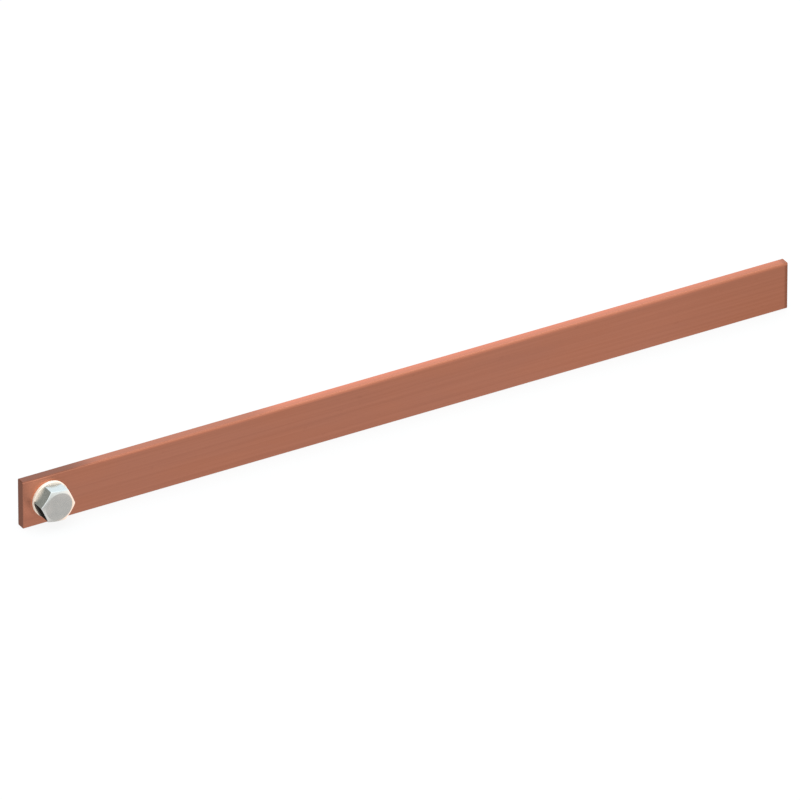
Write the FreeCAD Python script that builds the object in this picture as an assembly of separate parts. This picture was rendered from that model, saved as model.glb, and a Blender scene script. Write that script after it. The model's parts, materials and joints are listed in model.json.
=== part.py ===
import FreeCAD, Part
import math
import os

os.makedirs("parts", exist_ok=True)
V = FreeCAD.Vector

# Frame, millimetres: origin at the middle of the bar's lower edge, X along the
# bar, Y from the front face (-Y) to the back (+Y), Z up across the bar's width.

# flat bar
bar_length = 500.0
bar_width = 30.0
bar_thickness = 6.0
bar_edge_radius = 0.8        # drawn edges along the length
bar_end_chamfer = 0.25       # deburred saw cuts

# terminal hole, on the middle of the width
hole_diameter = 13.0
hole_from_end = 17.2

# hexagon bolt M12 x 20
bolt_diameter = 12.0
bolt_pitch_diameter = 10.863
bolt_length = 20.0
bolt_tip_chamfer = 1.2
head_across_flats = 19.0
head_height = 8.9
head_flat_radius = 8.45      # flat disc in the middle of the head
head_chamfer_deg = 25.0
head_turn_deg = -6.3         # first corner, from +X towards +Z

# plain washer
washer_outer = 22.4
washer_inner = 13.0
washer_thickness = 2.0
washer_edge_radius = 0.35

# thin hexagon nut
nut_across_flats = 19.0
nut_height = 6.0
nut_chamfer_deg = 30.0
nut_flat_radius = 9.0
nut_turn_deg = 4.0
nut_countersink_radius = 6.45

# derived places along the bolt's axis
axis_x = -bar_length / 2.0 + hole_from_end
axis_z = bar_width / 2.0
y_front = -bar_thickness / 2.0
y_back = bar_thickness / 2.0
y_seat = y_front - washer_thickness
y_head = y_seat - head_height
y_nut = y_back + nut_height
y_tip = y_seat + bolt_length
AXIS = V(0, 1, 0)


def cylinder(radius, y0, y1):
    return Part.makeCylinder(radius, y1 - y0, V(axis_x, y0, axis_z), AXIS)


def cone(r0, r1, y0, y1):
    return Part.makeCone(r0, r1, y1 - y0, V(axis_x, y0, axis_z), AXIS)


def hexagon(across_flats, turn_deg, y0, y1):
    r = across_flats / math.sqrt(3.0)
    pts = []
    for i in range(7):
        a = math.radians(turn_deg + 60.0 * i)
        pts.append(V(axis_x + r * math.cos(a), y0, axis_z + r * math.sin(a)))
    return Part.Face(Part.makePolygon(pts)).extrude(V(0, y1 - y0, 0))


def turned_front(flat_radius, chamfer_deg, y0, y1, reach=13.0):
    """Round blank with a chamfer cone at its -Y end."""
    d = (reach - flat_radius) * math.tan(math.radians(chamfer_deg))
    return cone(flat_radius, reach, y0, y0 + d).fuse(cylinder(reach, y0 + d, y1))


def turned_back(flat_radius, chamfer_deg, y0, y1, reach=13.0):
    """Round blank with a chamfer cone at its +Y end."""
    d = (reach - flat_radius) * math.tan(math.radians(chamfer_deg))
    return cylinder(reach, y0, y1 - d).fuse(cone(reach, flat_radius, y1 - d, y1))


def one_solid(shape):
    shape = shape.removeSplitter()
    assert len(shape.Solids) == 1 and shape.isValid(), shape.ShapeType
    return shape.Solids[0]


# ---- busbar: rounded rectangle drawn to length, ends deburred, one hole
def bar_solid():
    hw, ht, r = bar_width / 2.0, bar_thickness / 2.0, bar_edge_radius
    x0 = -bar_length / 2.0
    k = r * (1.0 - math.sqrt(0.5))

    def p(y, z):
        return V(x0, y, z + hw)

    edges = [
        Part.LineSegment(p(-ht + r, -hw), p(ht - r, -hw)).toShape(),
        Part.Arc(p(ht - r, -hw), p(ht - k, -hw + k), p(ht, -hw + r)).toShape(),
        Part.LineSegment(p(ht, -hw + r), p(ht, hw - r)).toShape(),
        Part.Arc(p(ht, hw - r), p(ht - k, hw - k), p(ht - r, hw)).toShape(),
        Part.LineSegment(p(ht - r, hw), p(-ht + r, hw)).toShape(),
        Part.Arc(p(-ht + r, hw), p(-ht + k, hw - k), p(-ht, hw - r)).toShape(),
        Part.LineSegment(p(-ht, hw - r), p(-ht, -hw + r)).toShape(),
        Part.Arc(p(-ht, -hw + r), p(-ht + k, -hw + k), p(-ht + r, -hw)).toShape(),
    ]
    bar = Part.Face(Part.Wire(edges)).extrude(V(bar_length, 0, 0))
    ends = [e for e in bar.Edges
            if e.BoundBox.XLength < 1e-6]
    bar = bar.makeChamfer(bar_end_chamfer, ends)
    return bar.cut(cylinder(hole_diameter / 2.0, y_front - 1.0, y_back + 1.0))


busbar = one_solid(bar_solid())

# ---- hex bolt: chamfered hexagon head, plain shank under the head,
# pitch-diameter core inside the nut, full thread diameter past it
head = hexagon(head_across_flats, head_turn_deg, y_head, y_seat)
head = head.common(turned_front(head_flat_radius, head_chamfer_deg, y_head, y_seat))
r_bolt = bolt_diameter / 2.0
r_pitch = bolt_pitch_diameter / 2.0
bolt = head.fuse([
    cylinder(r_bolt, y_seat, y_back),
    cylinder(r_pitch, y_back, y_nut),
    cylinder(r_bolt, y_nut, y_tip - bolt_tip_chamfer),
    cone(r_bolt, r_bolt - bolt_tip_chamfer, y_tip - bolt_tip_chamfer, y_tip),
])
hex_bolt = one_solid(bolt)

# ---- plain washer, its front outer edge rounded by stamping
washer = cylinder(washer_outer / 2.0, y_seat, y_front)
rim = [e for e in washer.Edges
       if abs(e.BoundBox.YMin - y_seat) < 1e-6 and e.BoundBox.YLength < 1e-6]
washer = washer.makeFillet(washer_edge_radius, rim)
plain_washer = one_solid(washer.cut(cylinder(washer_inner / 2.0, y_seat - 1.0, y_front + 1.0)))

# ---- thin hexagon nut, chamfered on both sides, thread taken at its pitch diameter
nut = hexagon(nut_across_flats, nut_turn_deg, y_back, y_nut)
nut = nut.common(turned_front(nut_flat_radius, nut_chamfer_deg, y_back, y_nut))
nut = nut.common(turned_back(nut_flat_radius, nut_chamfer_deg, y_back, y_nut))
nut = nut.cut(cylinder(r_pitch, y_back - 1.0, y_nut + 1.0))
sink = (nut_countersink_radius - r_pitch)
nut = nut.cut(cone(r_pitch, nut_countersink_radius, y_nut - sink, y_nut))
hex_nut = one_solid(nut)

for name, shape in (("busbar", busbar), ("hex_bolt", hex_bolt),
                    ("plain_washer", plain_washer), ("hex_nut", hex_nut)):
    shape.exportStep("parts/%s.step" % name)
    b = shape.BoundBox
    print("%-13s volume %9.2f mm3  x %8.3f %8.3f  y %7.3f %7.3f  z %7.3f %7.3f" % (
        name, shape.Volume, b.XMin, b.XMax, b.YMin, b.YMax, b.ZMin, b.ZMax))
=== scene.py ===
import json
import math

import bmesh
import bpy
from mathutils import Matrix, Vector

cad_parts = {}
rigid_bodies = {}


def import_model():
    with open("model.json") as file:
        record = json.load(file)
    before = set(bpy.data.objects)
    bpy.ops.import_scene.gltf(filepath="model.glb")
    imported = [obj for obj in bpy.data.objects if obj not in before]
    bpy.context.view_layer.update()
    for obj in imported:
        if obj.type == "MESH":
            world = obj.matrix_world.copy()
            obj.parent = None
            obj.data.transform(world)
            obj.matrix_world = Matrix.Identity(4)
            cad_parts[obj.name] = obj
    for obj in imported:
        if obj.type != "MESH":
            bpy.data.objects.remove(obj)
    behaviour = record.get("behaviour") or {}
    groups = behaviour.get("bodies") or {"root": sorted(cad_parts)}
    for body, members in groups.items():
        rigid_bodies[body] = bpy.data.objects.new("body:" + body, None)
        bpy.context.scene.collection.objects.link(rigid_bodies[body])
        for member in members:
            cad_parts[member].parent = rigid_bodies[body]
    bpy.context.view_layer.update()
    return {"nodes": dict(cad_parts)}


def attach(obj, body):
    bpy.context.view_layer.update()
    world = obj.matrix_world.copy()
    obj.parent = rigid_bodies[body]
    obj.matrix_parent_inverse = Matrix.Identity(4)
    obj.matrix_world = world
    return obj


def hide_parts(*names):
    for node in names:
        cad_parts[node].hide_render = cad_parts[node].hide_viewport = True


for left_over in list(bpy.data.objects):
    bpy.data.objects.remove(left_over, do_unlink=True)

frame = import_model()

MM = 0.001
scene = bpy.context.scene

# ------------------------------------------------------------------ sizes, mm
AXIS_X, AXIS_Z = -232.8, 15.0              # bolt axis, along Y
Y_HEAD, Y_SEAT = -13.9, -5.0               # front of the head, underside of the head
Y_BACK, Y_NUT, Y_TIP = 3.0, 9.0, 14.995    # back of the bar, outside of the nut, end of the bolt
ACROSS_FLATS = 19.0
HEAD_TURN, NUT_TURN = -6.3, 4.0
HEAD_FLAT_R, HEAD_CHAMFER = 8.45, math.radians(25.0)
NUT_FLAT_R, NUT_CHAMFER = 9.0, math.radians(30.0)
SINK_R, TIP_CHAMFER = 6.45, 1.2
PITCH = 1.75
R_CREST, R_ROOT = 6.0, 6.0 - 0.6134 * PITCH
PER_CORNER, PER_FLAT = 6, 22
N = 6 * (PER_CORNER + PER_FLAT)


# ------------------------------------------------------------------ mesh helpers
def hex_outline(across_flats, corner_r, turn_deg):
    """Rounded hexagon about the bolt axis, as (x, z) points, first corner at turn_deg."""
    corner = across_flats / math.sqrt(3.0)
    reach = corner - corner_r / math.sin(math.radians(60.0))
    arcs = []
    for k in range(6):
        t = math.radians(turn_deg + 60.0 * k)
        cx, cz = reach * math.cos(t), reach * math.sin(t)
        arc = []
        for i in range(PER_CORNER + 1):
            f = t + math.radians(-30.0 + 60.0 * i / PER_CORNER)
            arc.append((cx + corner_r * math.cos(f), cz + corner_r * math.sin(f)))
        arcs.append(arc)
    pts = []
    for k in range(6):
        pts += arcs[k]
        a, b = arcs[k][-1], arcs[(k + 1) % 6][0]
        for i in range(1, PER_FLAT):
            s = i / PER_FLAT
            pts.append((a[0] + (b[0] - a[0]) * s, a[1] + (b[1] - a[1]) * s))
    return pts


def bend(a, b, c, steps):
    """Points of a rounded corner from a to c, pulled towards b."""
    out = []
    for i in range(steps + 1):
        t = i / steps
        out.append(tuple(a[j] * (1 - t) ** 2 + 2 * b[j] * t * (1 - t) + c[j] * t * t for j in (0, 1)))
    return out


def thread_radius(angle, y, grow=0.0):
    """Right-hand M12 x 1.75 profile as a radius at an angle (from +X to +Z) and a place along Y."""
    v = ((y / PITCH + angle / (2.0 * math.pi)) % 1.0) * PITCH
    crest = PITCH / 8.0
    flank = (R_CREST - R_ROOT) * math.tan(math.radians(30.0))
    if v < crest:
        r = R_CREST
    elif v < crest + flank:
        r = R_CREST - (R_CREST - R_ROOT) * (v - crest) / flank
    elif v < PITCH - flank:
        r = R_ROOT
    else:
        r = R_CREST - (R_CREST - R_ROOT) * (PITCH - v) / flank
    return r + grow


class Rings:
    """A surface of N-point rings about the bolt axis, with edge wear plus painted edge highlight, and oil plus painted
    recess shade, stored at each point.
    """

    def __init__(self):
        self.rings, self.wear, self.oil_and_shade = [], [], []

    def add(self, points, wear=0.0, oil_and_shade=None):
        self.rings.append(points)
        self.wear.append([wear] * N if isinstance(wear, (int, float)) else wear)
        self.oil_and_shade.append([0.0] * N if oil_and_shade is None else oil_and_shade)

    def build(self, name, ends):
        bm = bmesh.new()
        wear = bm.verts.layers.float.new("wear")
        oil_and_shade = bm.verts.layers.float.new("oil_and_shade")
        rows = []
        for ring, ws, ds in zip(self.rings, self.wear, self.oil_and_shade):
            row = []
            for (x, y, z), w, d in zip(ring, ws, ds):
                v = bm.verts.new(((AXIS_X + x) * MM, y * MM, (AXIS_Z + z) * MM))
                v[wear], v[oil_and_shade] = w, d
                row.append(v)
            rows.append(row)
        pairs = list(zip(rows, rows[1:]))
        if ends == "loop":
            pairs.append((rows[-1], rows[0]))
        for a, b in pairs:
            for i in range(N):
                j = (i + 1) % N
                bm.faces.new((a[i], a[j], b[j], b[i]))
        if ends == "caps":
            for row in (rows[0], rows[-1]):
                c = sum((v.co for v in row), Vector()) / N
                mid = bm.verts.new(c)
                for i in range(N):
                    bm.faces.new((row[i], row[(i + 1) % N], mid))
        bmesh.ops.recalc_face_normals(bm, faces=bm.faces)
        for f in bm.faces:
            f.smooth = True
        me = bpy.data.meshes.new(name)
        bm.to_mesh(me)
        bm.free()
        ob = bpy.data.objects.new(name, me)
        scene.collection.objects.link(ob)
        flat = ob.modifiers.new("flat_normals", "WEIGHTED_NORMAL")
        flat.mode = "FACE_AREA"
        flat.weight = 80
        flat.keep_sharp = True
        return ob


EVEN = [2.0 * math.pi * i / N for i in range(N)]


def circle(r, y, angles):
    return [(r * math.cos(a), y, r * math.sin(a)) for a in angles]


# ------------------------------------------------------------------ hexagon bolt
def make_bolt():
    out = hex_outline(ACROSS_FLATS, 0.35, HEAD_TURN)
    start = math.atan2(out[0][1], out[0][0])
    angles = [math.atan2(z, x) for x, z in out]
    even = [start + a for a in EVEN]
    radii = [math.hypot(x, z) for x, z in out]
    g = Rings()
    tan_c = math.tan(HEAD_CHAMFER)
    y_base = Y_SEAT

    # flat disc, faintly dished as upset heads are, and the soft break into the chamfer
    soft = 0.35
    g.add(circle(1.6, Y_HEAD + 0.05, angles))
    g.add(circle(4.4, Y_HEAD + 0.035, angles))
    g.add(circle(HEAD_FLAT_R - 0.9, Y_HEAD + 0.012, angles))
    for r, y in bend((HEAD_FLAT_R - soft, Y_HEAD), (HEAD_FLAT_R, Y_HEAD),
                     (HEAD_FLAT_R + soft, Y_HEAD + soft * tan_c), 4):
        g.add(circle(r, y, angles))

    def along(columns):
        """columns[i] is the list of (radius, y, wear and painted highlight) down column i."""
        for k in range(len(columns[0])):
            pts = [(c[k][0] * math.cos(a), c[k][1], c[k][0] * math.sin(a)) for c, a in zip(columns, angles)]
            g.add(pts, wear=[c[k][2] for c in columns])

    columns = []
    e, low = 0.26, 0.18
    for big in radii:
        y_rim = Y_HEAD + (big - HEAD_FLAT_R) * tan_c
        col = []
        for s in (0.33, 0.66):
            r = HEAD_FLAT_R + soft + (big - e - HEAD_FLAT_R - soft) * s
            col.append((r, Y_HEAD + (r - HEAD_FLAT_R) * tan_c, 0.0))
        for r, y in bend((big - e, y_rim - e * tan_c), (big, y_rim), (big, y_rim + e), 4):
            col.append((r, y, 1.0))
        for s in (0.08, 0.5, 0.92):
            col.append((big, y_rim + e + (y_base - low - y_rim - e) * s, 0.0))
        for r, y in bend((big, y_base - low), (big, y_base), (big - low, y_base), 3):
            col.append((r, y, 0.6))
        columns.append(col)
    along(columns)

    # underside, shank, thread, chamfered end
    g.add(circle(8.6, y_base, angles))
    for r, y in ((R_CREST + 0.4, Y_SEAT), (R_CREST, Y_SEAT + 0.4), (R_CREST, -2.0), (R_CREST, Y_BACK - 0.6), (R_ROOT, Y_BACK - 0.05)):
        g.add(circle(r, y, even))
    steps = int(round((Y_TIP - Y_BACK) / 0.0625))
    for k in range(steps + 1):
        y = Y_BACK + (Y_TIP - Y_BACK) * k / steps
        top = R_CREST - TIP_CHAMFER + (Y_TIP - y)
        rs = [max(min(thread_radius(a, y), top), 0.1) for a in even]
        g.add([(r * math.cos(a), y, r * math.sin(a)) for r, a in zip(rs, even)],
              wear=[0.55 if r > R_CREST - 0.05 else 0.0 for r in rs],
              oil_and_shade=[min(1.0, max(0.0, (R_CREST - r) / (R_CREST - R_ROOT))) if top > R_CREST else 0.0 for r in rs])
    g.add(circle(4.3, Y_TIP, even), wear=0.2)
    g.add(circle(2.0, Y_TIP, even))
    return g.build("bolt_with_thread", "caps")


# ------------------------------------------------------------------ hexagon nut
def make_nut():
    out = hex_outline(ACROSS_FLATS, 0.35, NUT_TURN)
    start = math.atan2(out[0][1], out[0][0])
    angles = [math.atan2(z, x) for x, z in out]
    even = [start + a for a in EVEN]
    radii = [math.hypot(x, z) for x, z in out]
    g = Rings()
    tan_c = math.tan(NUT_CHAMFER)
    e = 0.2
    sink = SINK_R

    g.add(circle(sink + 0.1, Y_BACK, even))
    g.add(circle(NUT_FLAT_R - 0.3, Y_BACK, angles))
    columns = []
    for big in radii:
        rise = max(0.0, (big - NUT_FLAT_R) * tan_c)
        y0, y1 = Y_BACK + rise, Y_NUT - rise
        col = [(r, y, 0.3) for r, y in bend((NUT_FLAT_R - 0.2, Y_BACK), (NUT_FLAT_R, Y_BACK),
                                            (NUT_FLAT_R + 0.2, Y_BACK + 0.2 * tan_c), 2)]
        col += [(r, y, 0.9) for r, y in bend((big - e, y0 - e * tan_c), (big, y0), (big, y0 + e), 4)]
        for s in (0.1, 0.5, 0.9):
            col.append((big, y0 + e + (y1 - y0 - 2 * e) * s, 0.0))
        col += [(r, y, 0.9) for r, y in bend((big, y1 - e), (big, y1), (big - e, y1 + e * tan_c), 4)]
        col += [(r, y, 0.3) for r, y in bend((NUT_FLAT_R + 0.2, Y_NUT - 0.2 * tan_c), (NUT_FLAT_R, Y_NUT),
                                            (NUT_FLAT_R - 0.2, Y_NUT), 2)]
        columns.append(col)
    for k in range(len(columns[0])):
        g.add([(c[k][0] * math.cos(a), c[k][1], c[k][0] * math.sin(a)) for c, a in zip(columns, angles)],
              wear=[c[k][2] for c in columns])
    g.add(circle(NUT_FLAT_R - 0.35, Y_NUT, angles))
    g.add(circle(sink + 0.1, Y_NUT, even), wear=0.3)
    # bore, from the outside face to the bar, following the bolt's thread with a little play
    steps = int(round((Y_NUT - Y_BACK) / 0.0625))
    for k in range(steps + 1):
        y = Y_NUT - (Y_NUT - Y_BACK) * k / steps
        cone = max(sink - (Y_NUT - y), sink - (y - Y_BACK))
        rs = [max(thread_radius(a, y, 0.05), cone) for a in even]
        g.add([(r * math.cos(a), y, r * math.sin(a)) for r, a in zip(rs, even)], oil_and_shade=[0.5] * N)
    return g.build("nut_with_thread", "loop")


# ------------------------------------------------------------------ node helpers
def new_material(name):
    m = bpy.data.materials.new(name)
    m.use_nodes = True
    nt = m.node_tree
    nt.nodes.clear()
    out = nt.nodes.new("ShaderNodeOutputMaterial")
    bsdf = nt.nodes.new("ShaderNodeBsdfPrincipled")
    nt.links.new(bsdf.outputs["BSDF"], out.inputs["Surface"])
    return m, nt, bsdf


class Nodes:
    def __init__(self, nt):
        self.nt = nt

    def put(self, socket, value):
        if isinstance(value, bpy.types.NodeSocket):
            self.nt.links.new(value, socket)
        elif value is not None:
            socket.default_value = value

    def math(self, op, a, b=None, c=None, clamp=False):
        n = self.nt.nodes.new("ShaderNodeMath")
        n.operation = op
        n.use_clamp = clamp
        for s, v in zip(n.inputs, (a, b, c)):
            self.put(s, v)
        return n.outputs[0]

    def scaled(self, vec, scale, shift=(0.0, 0.0, 0.0)):
        n = self.nt.nodes.new("ShaderNodeMapping")
        self.put(n.inputs["Vector"], vec)
        n.inputs["Scale"].default_value = scale
        n.inputs["Location"].default_value = shift
        return n.outputs[0]

    def noise(self, vec, scale=1.0, detail=2.0, rough=0.5, distort=0.0):
        n = self.nt.nodes.new("ShaderNodeTexNoise")
        self.put(n.inputs["Vector"], vec)
        n.inputs["Scale"].default_value = scale
        n.inputs["Detail"].default_value = detail
        n.inputs["Roughness"].default_value = rough
        n.inputs["Distortion"].default_value = distort
        return n.outputs["Fac"]

    def cells(self, vec, scale):
        n = self.nt.nodes.new("ShaderNodeTexVoronoi")
        self.put(n.inputs["Vector"], vec)
        n.inputs["Scale"].default_value = scale
        return n.outputs["Color"]

    def span(self, value, a, b, c=0.0, d=1.0, smooth=True):
        n = self.nt.nodes.new("ShaderNodeMapRange")
        n.interpolation_type = "SMOOTHSTEP" if smooth else "LINEAR"
        n.clamp = True if not smooth else n.clamp
        self.put(n.inputs["Value"], value)
        n.inputs["From Min"].default_value = a
        n.inputs["From Max"].default_value = b
        n.inputs["To Min"].default_value = c
        n.inputs["To Max"].default_value = d
        return n.outputs["Result"]

    def mix(self, fac, a, b, blend="MIX"):
        n = self.nt.nodes.new("ShaderNodeMix")
        n.data_type = "RGBA"
        n.blend_type = blend
        self.put(n.inputs[0], fac)
        self.put(n.inputs[6], a)
        self.put(n.inputs[7], b)
        return n.outputs[2]

    def split(self, vec):
        n = self.nt.nodes.new("ShaderNodeSeparateXYZ")
        self.put(n.inputs[0], vec)
        return n.outputs

    def join(self, x, y, z):
        n = self.nt.nodes.new("ShaderNodeCombineXYZ")
        for s, v in zip(n.inputs, (x, y, z)):
            self.put(s, v)
        return n.outputs[0]

    def bump(self, height, distance, strength=1.0, normal=None):
        n = self.nt.nodes.new("ShaderNodeBump")
        n.inputs["Strength"].default_value = strength
        n.inputs["Distance"].default_value = distance
        self.put(n.inputs["Height"], height)
        if normal is not None:
            self.put(n.inputs["Normal"], normal)
        return n.outputs[0]

    def place(self):
        return self.nt.nodes.new("ShaderNodeTexCoord").outputs["Object"]

    def normal(self):
        return self.nt.nodes.new("ShaderNodeNewGeometry").outputs["Normal"]

    def stored(self, name):
        n = self.nt.nodes.new("ShaderNodeAttribute")
        n.attribute_name = name
        return n.outputs["Fac"]


# ------------------------------------------------------------------ drawn copper
def copper():
    m, nt, bsdf = new_material("drawn_copper")
    k = Nodes(nt)
    p = k.place()
    x, y, z = k.split(p)
    nx, ny, nz = k.split(k.normal())

    # lines left along the length by the drawing die, coarse and fine
    coarse = k.noise(k.scaled(p, (5.0, 900.0, 900.0)), 1.0, 3.0, 0.6)
    fine = k.noise(k.scaled(p, (18.0, 5200.0, 5200.0), (3.1, 7.7, 1.9)), 1.0, 2.0, 0.55)
    # slow drift of the oxide film, and small handling spots
    film = k.noise(k.scaled(p, (11.0, 38.0, 38.0), (4.0, 0.0, 2.0)), 1.0, 4.0, 0.55, 0.3)
    spots = k.noise(k.scaled(p, (140.0, 260.0, 260.0), (9.0, 5.0, 1.0)), 1.0, 3.0, 0.6)

    base = k.mix(k.span(film, 0.32, 0.70), (0.383, 0.1495, 0.0920, 1.0), (0.354, 0.1455, 0.0960, 1.0))
    base = k.mix(k.math("MULTIPLY", k.span(coarse, 0.35, 0.65), 0.30), base, (0.427, 0.182, 0.120, 1.0))
    base = k.mix(k.math("MULTIPLY", k.span(fine, 0.50, 0.72), 0.22), base, (0.288, 0.109, 0.069, 1.0))
    base = k.mix(k.math("MULTIPLY", k.span(spots, 0.64, 0.76), 0.22), base, (0.273, 0.106, 0.067, 1.0))

    # cut ends are duller than the drawn faces
    end = k.span(k.math("ABSOLUTE", nx), 0.80, 0.95)
    base = k.mix(k.math("MULTIPLY", end, 0.55), base, (0.206, 0.074, 0.043, 1.0))

    # browner along the cut at the plain end
    base = k.mix(k.span(x, 0.2472, 0.2491, 0.0, 0.55), base, (0.110, 0.040, 0.026, 1.0))

    # upper faces painted lighter and redder, brightening towards the back edge as a painted highlight, with brown
    # tarnish from the bolted end to a third of the length
    upper = k.span(nz, 0.25, 0.85)
    top_highlight_colour = k.mix(k.span(y, -0.0026, 0.0018), (0.455, 0.155, 0.093, 1.0), (0.560, 0.176, 0.106, 1.0))
    base = k.mix(k.math("MULTIPLY", upper, 0.90), base, top_highlight_colour)
    drift = k.math("ADD", x, k.math("MULTIPLY", k.math("SUBTRACT", film, 0.5), 0.02))
    base = k.mix(k.math("MULTIPLY", upper, k.span(drift, -0.106, -0.080, 0.92, 0.0)), base, (0.352, 0.123, 0.0755, 1.0))
    base = k.mix(k.math("MULTIPLY", upper, k.span(drift, -0.224, -0.199, 0.48, 0.0)), base, (0.02, 0.012, 0.010, 1.0))

    # painted shade: faces turned down, under the lower edge, darker
    base = k.mix(k.math("MULTIPLY", k.span(nz, -0.25, -0.8), 0.3), base, (0.10, 0.045, 0.030, 1.0))

    # painted light: a paler patch on the contact face beside the washer, offsetting the shade of the bolt there
    px, pz = k.math("ADD", x, 0.2395), k.math("SUBTRACT", z, 0.0255)
    away = k.math("SQRT", k.math("ADD", k.math("MULTIPLY", px, px), k.math("MULTIPLY", pz, pz)))
    washer_side_light = k.math("MULTIPLY", k.span(away, 0.0125, 0.002), k.span(ny, -0.8, -0.95))
    base = k.mix(k.math("MULTIPLY", washer_side_light, 0.80), base, (0.66, 0.250, 0.150, 1.0))

    # painted light: a second paler patch left of the washer, offsetting the head's dark reflection there
    qx, qz = k.math("ADD", x, 0.2448), k.math("SUBTRACT", z, 0.0150)
    off = k.math("SQRT", k.math("ADD", k.math("MULTIPLY", qx, qx), k.math("MULTIPLY", qz, qz)))
    left_patch_light = k.math("MULTIPLY", k.span(off, 0.0105, 0.003), k.span(ny, -0.8, -0.95))
    base = k.mix(k.math("MULTIPLY", left_patch_light, 0.50), base, (0.58, 0.235, 0.148, 1.0))

    # faces paler along their upper edge
    band = k.math("MULTIPLY", k.span(z, 0.0279, 0.0290), k.span(k.math("ABSOLUTE", ny), 0.6, 0.9))
    band = k.math("MULTIPLY", band, k.span(drift, -0.224, -0.195, 0.15, 1.0))
    base = k.mix(k.math("MULTIPLY", band, k.span(film, 0.2, 0.8, 0.55, 0.85)), base, (0.530, 0.197, 0.119, 1.0))

    # corners rubbed bright
    edge_z = k.span(k.math("ABSOLUTE", k.math("SUBTRACT", z, 0.015)), 0.0139, 0.0148)
    edge_y = k.span(k.math("ABSOLUTE", y), 0.00235, 0.00285)
    rub = k.math("MULTIPLY", edge_z, edge_y)
    rub = k.math("MULTIPLY", rub, k.span(coarse, 0.25, 0.75, 0.35, 1.0))
    base = k.mix(k.math("MULTIPLY", rub, 0.12), base, (0.56, 0.25, 0.165, 1.0))
    # upper faces darker over the last few millimetres at the plain end
    base = k.mix(k.math("MULTIPLY", upper, k.span(x, 0.2450, 0.2490, 0.0, 0.50)), base, (0.20, 0.075, 0.048, 1.0))
    # the film thickens slowly towards the plain end
    base = k.mix(k.span(x, 0.14, 0.25, 0.0, 0.20), base, (0.25, 0.083, 0.033, 1.0))
    k.put(bsdf.inputs["Base Color"], base)

    rough = k.math("ADD", k.span(coarse, 0.3, 0.7, 0.36, 0.44, False), k.span(film, 0.3, 0.7, -0.03, 0.05, False))
    rough = k.math("SUBTRACT", rough, k.math("MULTIPLY", rub, 0.04))
    rough = k.math("ADD", rough, k.math("MULTIPLY", end, 0.08))
    k.put(bsdf.inputs["Roughness"], rough)
    bsdf.inputs["Metallic"].default_value = 1.0

    # saw arcs on the cut ends
    dy, dz = k.math("ADD", y, 0.16), k.math("SUBTRACT", z, -0.05)
    far = k.math("SQRT", k.math("ADD", k.math("MULTIPLY", dy, dy), k.math("MULTIPLY", dz, dz)))
    saw = k.noise(k.join(k.math("MULTIPLY", far, 2600.0), k.math("MULTIPLY", z, 30.0), 0.0), 1.0, 2.0, 0.6)
    saw = k.math("MULTIPLY", saw, end)
    lines = k.math("ADD", k.math("MULTIPLY", coarse, 0.7), k.math("MULTIPLY", fine, 0.3))
    nrm = k.bump(lines, 0.00002, 0.35)
    nrm = k.bump(saw, 0.00008, 0.8, nrm)
    k.put(bsdf.inputs["Normal"], nrm)
    return m


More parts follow.
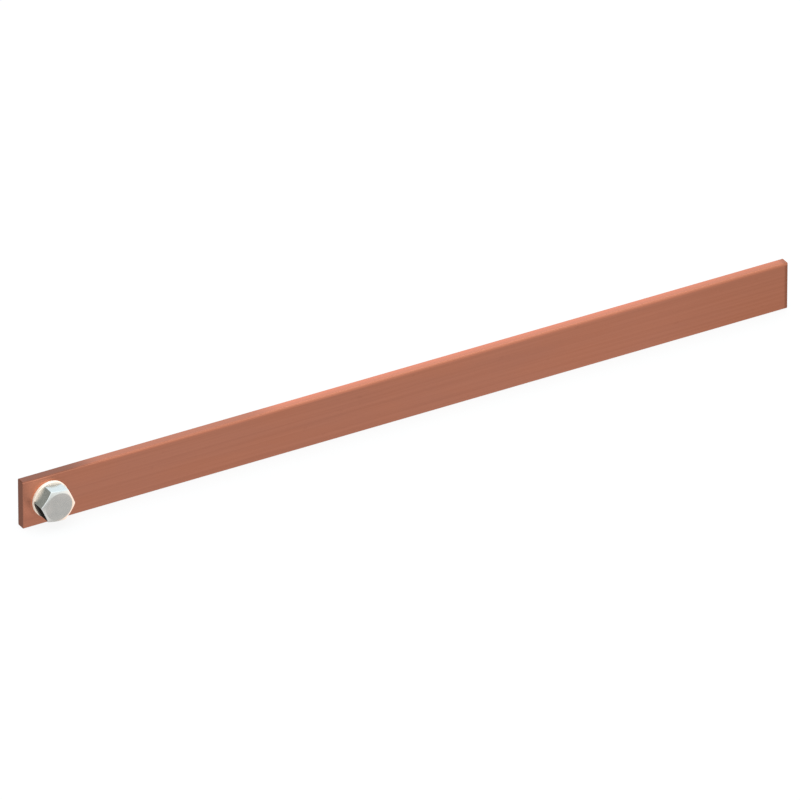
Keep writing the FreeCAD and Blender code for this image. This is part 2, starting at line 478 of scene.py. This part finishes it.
# ------------------------------------------------------------------ zinc-plated steel
def zinc(name, stored, pale, grey, dull, metal=1.0, matt=0.0):
    m, nt, bsdf = new_material(name)
    k = Nodes(nt)
    p = k.place()
    nx, ny, nz = k.split(k.normal())
    grain = k.noise(k.scaled(p, (900.0, 900.0, 900.0)), 1.0, 3.0, 0.6)
    cloud = k.noise(k.scaled(p, (160.0, 160.0, 160.0), (2.0, 3.0, 1.0)), 1.0, 3.0, 0.5)
    base = k.mix(k.span(cloud, 0.35, 0.68), grey, pale)
    base = k.mix(k.math("MULTIPLY", k.span(grain, 0.45, 0.75), 0.18), base, dull)
    rough = k.math("ADD", k.span(grain, 0.3, 0.7, 0.24, 0.31, False), k.span(cloud, 0.3, 0.7, -0.03 + matt, 0.04 + matt, False))
    if stored:
        wear = k.math("MULTIPLY", k.stored("wear"), k.span(grain, 0.25, 0.65, 0.5, 1.0))
        oil_and_shade = k.stored("oil_and_shade")
        # painted shade: flanks that face down darkened, their reflections dimmed and roughened
        underside_shade = k.math("MULTIPLY", k.span(nz, -0.15, -0.35), k.span(k.math("ABSOLUTE", ny), 0.5, 0.2))
        # painted shade darkest on the head's flat towards the bar's near end, lighter on the others
        place_y = k.split(p)[1]
        deep_shade_flat = k.math("MULTIPLY", k.span(nx, -0.55, -0.80), k.span(place_y, -0.0045, -0.0052))
        underside_shade = k.math("MULTIPLY", underside_shade, k.span(deep_shade_flat, 0.0, 1.0, 0.36, 1.0))
        base = k.mix(k.math("MULTIPLY", underside_shade, 0.98), base, (0.012, 0.009, 0.007, 1.0))
        # painted sky reflection: flats that face up painted paler and bluer
        sky_reflection = k.math("MULTIPLY", k.span(nz, 0.45, 0.85), k.span(k.math("ABSOLUTE", ny), 0.5, 0.2))
        base = k.mix(k.math("MULTIPLY", sky_reflection, 0.8), base, (0.470, 0.512, 0.528, 1.0))
        # painted highlight: chamfers painted brighter, most on those facing right
        slant = k.math("ABSOLUTE", ny)
        chamfer_highlight = k.math("MULTIPLY", k.span(slant, 0.78, 0.86), k.span(slant, 0.975, 0.935))
        chamfer_highlight = k.math("MULTIPLY", chamfer_highlight, k.span(nx, -0.05, 0.22, 0.35, 1.0))
        base = k.mix(k.math("MULTIPLY", chamfer_highlight, 0.85), base, (0.615, 0.590, 0.545, 1.0))
        # edge wear and painted highlight: rims, edges and thread crests paler
        base = k.mix(k.math("MULTIPLY", wear, 0.5), base, (0.74, 0.75, 0.75, 1.0))
        # oil and painted shade: thread roots and the nut's bore darker
        base = k.mix(k.math("MULTIPLY", oil_and_shade, 0.55), base, (0.16, 0.16, 0.155, 1.0))
        rough = k.math("SUBTRACT", rough, k.math("MULTIPLY", wear, 0.06))
        rough = k.math("ADD", rough, k.math("MULTIPLY", oil_and_shade, 0.12))
        rough = k.math("ADD", rough, k.math("MULTIPLY", underside_shade, 0.45))
        k.put(bsdf.inputs["Specular Tint"], k.mix(underside_shade, (1.0, 1.0, 1.0, 1.0), (0.03, 0.03, 0.03, 1.0)))
    else:
        # painted shadow of the head on the washer, along the head's flat that faces down
        x, y, z = k.split(p)
        turn = math.radians(HEAD_TURN + 210.0)
        out = k.math("ADD", k.math("MULTIPLY", k.math("SUBTRACT", x, AXIS_X * MM), math.cos(turn)),
                     k.math("MULTIPLY", k.math("SUBTRACT", z, AXIS_Z * MM), math.sin(turn)))
        head_shadow = k.math("MULTIPLY", k.span(out, 0.0106, 0.0100), k.span(ny, -0.5, -0.8))
        base = k.mix(k.math("MULTIPLY", k.math("MULTIPLY", head_shadow, k.span(out, 0.0088, 0.0092)), 0.93), base, (0.03, 0.022, 0.017, 1.0))
    k.put(bsdf.inputs["Base Color"], base)
    k.put(bsdf.inputs["Roughness"], rough)
    bsdf.inputs["Metallic"].default_value = metal
    k.put(bsdf.inputs["Normal"], k.bump(grain, 0.00002, 0.15))
    return m


def paint(ob, mat):
    ob.data.materials.clear()
    ob.data.materials.append(mat)


# ------------------------------------------------------------------ the object
nodes = frame["nodes"]
copper_mat = copper()
zinc_detail = zinc("zinc_plating", True,
                   (0.513, 0.508, 0.484, 1.0), (0.482, 0.482, 0.464, 1.0), (0.417, 0.418, 0.404, 1.0))
# a paler, warmer copy of the zinc plating for the washer: the warm tint is a painted reflection of the copper, the
# paleness painted light
zinc_washer = zinc("zinc_plating_washer", False,
                   (0.90, 0.775, 0.660, 1.0), (0.87, 0.745, 0.630, 1.0), (0.78, 0.665, 0.565, 1.0), 0.5, 0.22)

paint(nodes["busbar"], copper_mat)
nodes["busbar"].visible_glossy = False    # the bright hardware mirrors the tent, not the bar
paint(nodes["plain_washer"], zinc_washer)

bolt = make_bolt()
paint(bolt, zinc_detail)
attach(bolt, "root")
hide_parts("hex_bolt")

nut = make_nut()
paint(nut, zinc_detail)
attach(nut, "root")
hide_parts("hex_nut")

# ------------------------------------------------------------------ floor
fm, fnt, fb = new_material("floor_white")
fb.inputs["Base Color"].default_value = (0.1, 0.1, 0.1, 1.0)
fb.inputs["Roughness"].default_value = 0.9
fb.inputs["Specular IOR Level"].default_value = 0.0
fb.inputs["Emission Color"].default_value = (1.0, 1.0, 1.0, 1.0)
fb.inputs["Emission Strength"].default_value = 0.86
bm = bmesh.new()
bmesh.ops.create_grid(bm, x_segments=2, y_segments=2, size=40.0)
fme = bpy.data.meshes.new("floor")
bm.to_mesh(fme)
bm.free()
floor = bpy.data.objects.new("floor", fme)
floor.location = (0.0, 0.0, -0.00002)
scene.collection.objects.link(floor)
paint(floor, fm)
floor.visible_glossy = False
floor.visible_diffuse = False
floor.visible_shadow = False

# ------------------------------------------------------------------ light: a soft tent, brighter above, a panel to the right, one overhead
world = bpy.data.worlds.new("studio_tent")
scene.world = world
world.use_nodes = True
wt = world.node_tree
wt.nodes.clear()
w = Nodes(wt)
direction = wt.nodes.new("ShaderNodeTexCoord").outputs["Generated"]
dx, dy, dz = w.split(direction)
def lobe(x, y, z, inner, outer):
    """1 within the cone whose cosine is inner, falling to 0 at outer."""
    n = math.sqrt(x * x + y * y + z * z)
    d = w.math("ADD", w.math("MULTIPLY", dx, x / n), w.math("MULTIPLY", dy, y / n))
    return w.span(w.math("ADD", d, w.math("MULTIPLY", dz, z / n)), outer, inner)


def dim(power, where, amount):
    return w.math("MULTIPLY", power, w.math("SUBTRACT", 1.0, w.math("MULTIPLY", where, amount)))


power = w.span(dz, -0.5, 0.1, 0.80, 1.60)                        # bright upper half, soft change at the horizon
power = dim(power, lobe(-0.433, 0.75, -0.5, 0.95, 0.72), 0.32)   # darker low behind the left end
power = dim(power, lobe(-0.606, 0.75, 0.265, 0.96, 0.80), 0.72)  # a grey card behind on the left
power = dim(power, lobe(0.433, -0.475, 0.725, 0.95, 0.75), 0.25) # less from above the camera
power = dim(power, lobe(-0.214, -0.975, -0.022, 0.97, 0.85), 0.22) # a gap between the cards in front
right = lobe(0.83, -0.12, -0.52, 0.93, 0.78)
power = w.math("ADD", power, w.math("MULTIPLY", right, 1.0))     # panel low on the right
power = w.math("ADD", power, w.math("MULTIPLY", lobe(-0.157, -0.632, -0.758, 0.97, 0.86), 0.4))  # white card low in front
power = w.math("ADD", power, w.span(dz, 0.82, 0.97, 0.0, 1.6))   # panel overhead
tint = w.mix(w.span(dz, -0.5, 0.5), (1.0, 1.0, 1.0, 1.0), (0.93, 1.0, 1.02, 1.0))
tint = w.mix(lobe(-0.606, 0.75, 0.265, 0.96, 0.80), tint, (0.98, 1.0, 0.91, 1.0))
tint = w.mix(right, tint, (1.0, 0.80, 0.70, 1.0))
bg = wt.nodes.new("ShaderNodeBackground")
wout = wt.nodes.new("ShaderNodeOutputWorld")
w.put(bg.inputs["Color"], tint)
w.put(bg.inputs["Strength"], power)
wt.links.new(bg.outputs[0], wout.inputs["Surface"])

# ------------------------------------------------------------------ camera, 30 degrees round to the left and 30 degrees down
AZ, EL = math.radians(-30.0), math.radians(30.0)
back = Vector((math.sin(AZ) * math.cos(EL), -math.cos(AZ) * math.cos(EL), math.sin(EL)))
cam_data = bpy.data.cameras.new("camera")
cam_data.lens = 850.0
cam_data.sensor_width = 36.0
cam_data.clip_start = 0.1
cam_data.clip_end = 60.0
cam = bpy.data.objects.new("camera", cam_data)
scene.collection.objects.link(cam)
cam.location = Vector((-0.004194, 0.000184, 0.011107)) + back * 10.698328
cam.rotation_mode = "QUATERNION"
cam.rotation_quaternion = (-back).to_track_quat("-Z", "Y")
scene.camera = cam

scene.view_settings.view_transform = "Standard"
scene.view_settings.look = "None"
